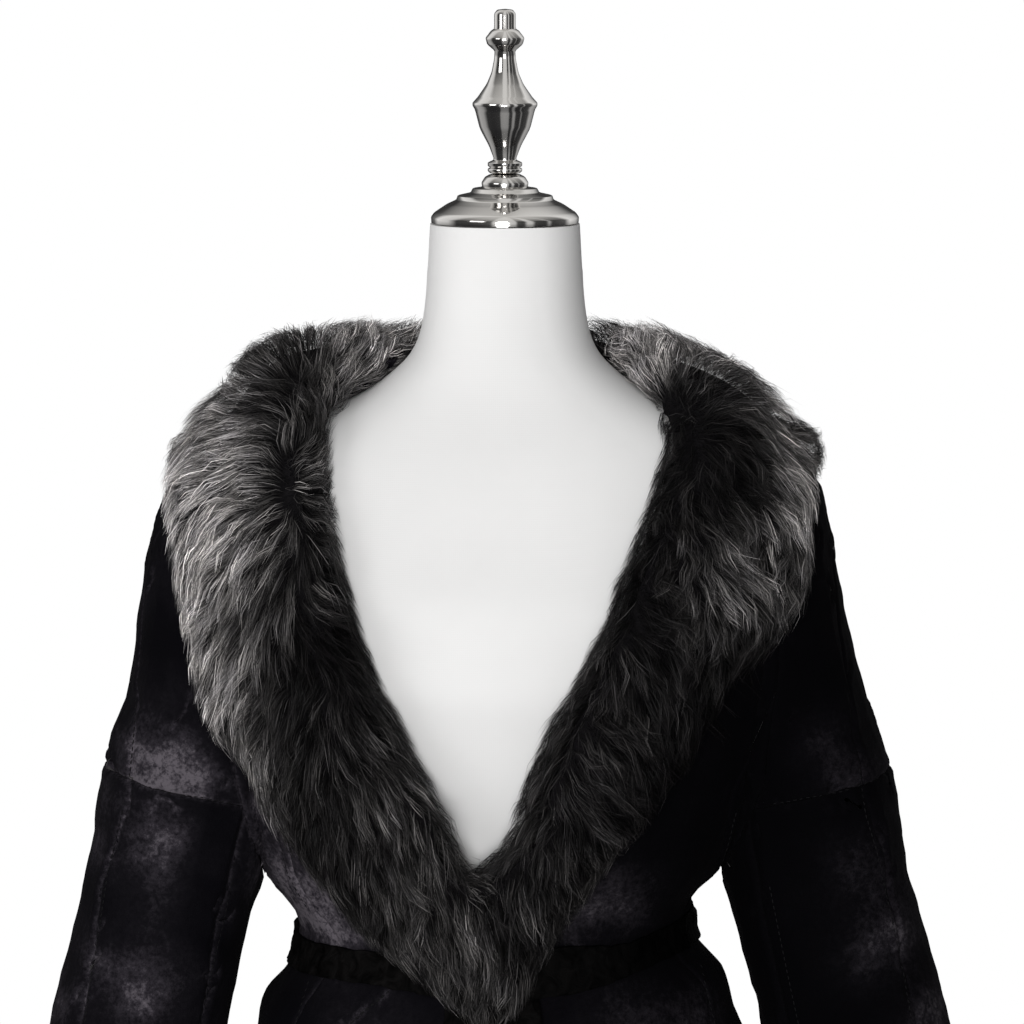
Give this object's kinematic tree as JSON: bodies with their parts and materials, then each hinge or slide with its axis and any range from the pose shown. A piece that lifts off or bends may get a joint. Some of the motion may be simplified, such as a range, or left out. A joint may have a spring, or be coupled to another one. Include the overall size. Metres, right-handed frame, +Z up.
{
  "type": "shearling coat on dress form",
  "caption": "Knee-length shearling wrap coat with a wide long-haired shawl collar and a tie belt, worn open at the chest by a limbless dress form on a plain stand.",
  "frame": {"origin": "middle of the stand's flat underside, on the floor", "axes": "+Z up, the coat's front towards -Y, the wearer's right towards -X"},
  "size_m": [0.689, 0.4127, 1.7052],
  "materials": {
    "suede": "napped sheepskin suede, near black with purple-grey brushed patches",
    "fur": "long soft hair, dark roots and grey tips",
    "belt_leather": "soft black suede, crumpled",
    "form_cover": "smooth white stretched cloth",
    "bright_metal": "polished nickel"
  },
  "bodies": {
    "root": {"front_right": "suede", "front_left": "suede", "side_right": "suede", "side_left": "suede", "back_right": "suede", "back_left": "suede", "sleeve_right_cap_front": "suede", "sleeve_right_cap_back": "suede", "sleeve_right_front": "suede", "sleeve_right_under": "suede", "sleeve_right_back": "suede", "sleeve_left_cap_front": "suede", "sleeve_left_cap_back": "suede", "sleeve_left_front": "suede", "sleeve_left_under": "suede", "sleeve_left_back": "suede", "collar_right": "fur", "collar_left": "fur", "belt": "belt_leather", "belt_knot": "belt_leather", "belt_end_right": "belt_leather", "belt_end_left": "belt_leather", "dress_form": "form_cover", "neck_cap": "bright_metal", "finial": "bright_metal", "stand_pole": "bright_metal", "stand_foot": "bright_metal"}
  },
  "joints": []
}
